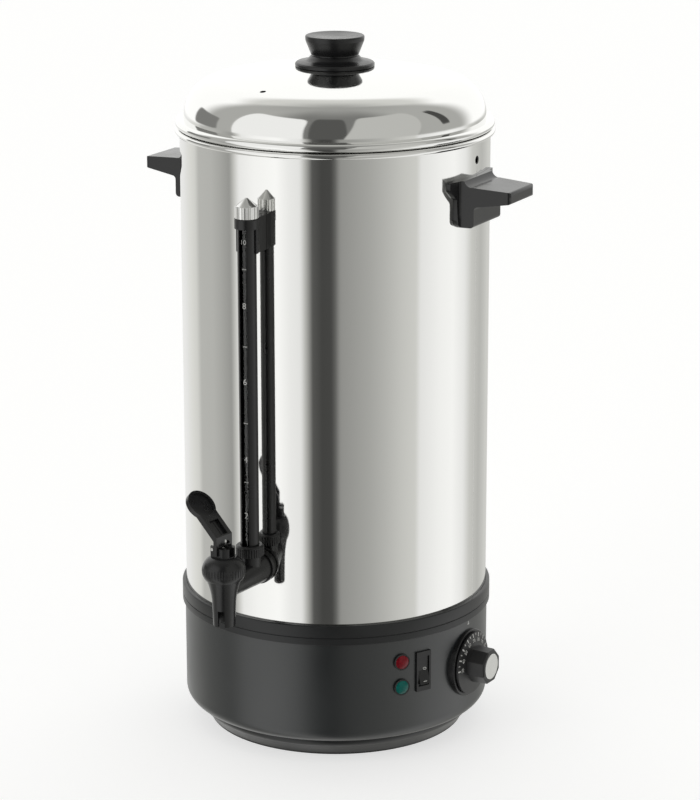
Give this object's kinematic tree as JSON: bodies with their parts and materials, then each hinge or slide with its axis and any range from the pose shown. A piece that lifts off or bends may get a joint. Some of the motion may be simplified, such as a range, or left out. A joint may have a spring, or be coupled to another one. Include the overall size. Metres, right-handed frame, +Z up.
{
  "type": "hot water urn",
  "caption": "Hot water urn: tall polished steel tank with a domed lid on a black base, side handles, lever tap with a level tube, dial, rocker switch and lamps.",
  "frame": {"origin": "on the floor, on the tank's axis, in the plane of the foot ring's underside", "axes": "+Z up along the tank's axis; the tap faces -Y; the handles stand on +X and -X; the cord leaves on +Y"},
  "size_m": [0.3012, 0.3077, 0.5171],
  "materials": {
    "polished_steel": "mirror-polished stainless steel",
    "plain_steel": "plain stainless steel sheet and fixings",
    "zinc_steel": "zinc-plated steel",
    "heater_aluminium": "cast, satin",
    "drum_paint": "satin black paint on sheet steel",
    "base_plastic": "satin black moulding",
    "handle_plastic": "black moulding, glossy on top",
    "tap_plastic": "satin black moulding with a fine grain",
    "seal_rubber": "soft seal",
    "gauge_glass": "clear tube",
    "cap_chrome": "bright chrome",
    "dial_plastic": "satin black moulding",
    "dial_disc": "turned and polished",
    "switch_plastic": "glossy black moulding",
    "lamp_red": "clear red lens",
    "lamp_green": "clear green lens",
    "lamp_body": "pale moulding",
    "terminal_plastic": "pale moulding",
    "brass_screw": "plain brass",
    "copper_bulb": "copper bulb and capillary"
  },
  "bodies": {
    "base": {"foot_ring": "base_plastic", "base_drum": "drum_paint", "base_rim": "base_plastic", "bottom_plate": "zinc_steel", "tie_rods": "zinc_steel", "tie_nuts": "zinc_steel", "tank_shell": "polished_steel", "tank_floor": "plain_steel", "heater_plate": "heater_aluminium", "heating_element": "plain_steel", "boil_dry_cutout": "terminal_plastic", "handle_right": "handle_plastic", "handle_left": "handle_plastic", "handle_seals": "seal_rubber", "handle_screws": "plain_steel", "tap_body": "tap_plastic", "tap_seal_outer": "seal_rubber", "tap_seal_inner": "seal_rubber", "tap_nut": "tap_plastic", "tap_bonnet": "tap_plastic", "lever_pin": "plain_steel", "gauge_nut": "tap_plastic", "gauge_seal": "seal_rubber", "gauge_tube": "gauge_glass", "gauge_shield": "handle_plastic", "gauge_bracket": "tap_plastic", "bracket_screw": "plain_steel", "gauge_cap": "cap_chrome", "thermostat_body": "zinc_steel", "thermostat_bulb": "copper_bulb", "dial_bezel": "dial_plastic", "switch_housing": "switch_plastic", "lamp_bezels": "switch_plastic", "lamp_bodies": "lamp_body", "red_lamp_lens": "lamp_red", "green_lamp_lens": "lamp_green", "cord_gland": "base_plastic", "gland_nut": "base_plastic", "terminal_block": "terminal_plastic", "earth_screw": "brass_screw"},
    "lid": {"lid_shell": "polished_steel", "lid_knob": "handle_plastic", "knob_washer": "plain_steel", "knob_screw": "plain_steel"},
    "lever": {"tap_lever": "tap_plastic"},
    "stem": {"tap_stem": "plain_steel", "seat_cup": "seal_rubber", "tap_spring": "plain_steel"},
    "dial": {"dial_knob": "dial_plastic", "dial_cap": "dial_disc", "thermostat_shaft": "zinc_steel"},
    "rocker": {"switch_rocker": "switch_plastic"}
  },
  "joints": [
    {"name": "lid_lift", "type": "slide", "parent": "base", "child": "lid", "axis": [0, 0, 1], "range_m": [0, 0.15]},
    {"name": "lever_turn", "type": "hinge", "parent": "base", "child": "lever", "pos_m": [-0.00492, -0.16513, 0.176], "axis": [-0.1736, -0.9848, 0], "range_deg": [0, 42], "stiffness_Nm_per_rad": 0.15, "springref_deg": -28.65},
    {"name": "stem_lift", "type": "slide", "parent": "base", "child": "stem", "axis": [0, 0, 1], "range_m": [0, 0.00366], "deforming": ["tap_spring"]},
    {"name": "dial_turn", "type": "hinge", "parent": "base", "child": "dial", "pos_m": [0.11389, -0.00497, 0.0583], "axis": [0.999, -0.0436, 0], "range_deg": [-120, 120]},
    {"name": "rocker_tilt", "type": "hinge", "parent": "base", "child": "rocker", "pos_m": [0.09774, -0.05175, 0.0652], "axis": [0.4679, 0.8838, 0], "range_deg": [0, 16]}
  ],
  "couplings": [
    {"joint": "lever_turn", "follows": "stem_lift", "rad_per_m": 200}
  ]
}
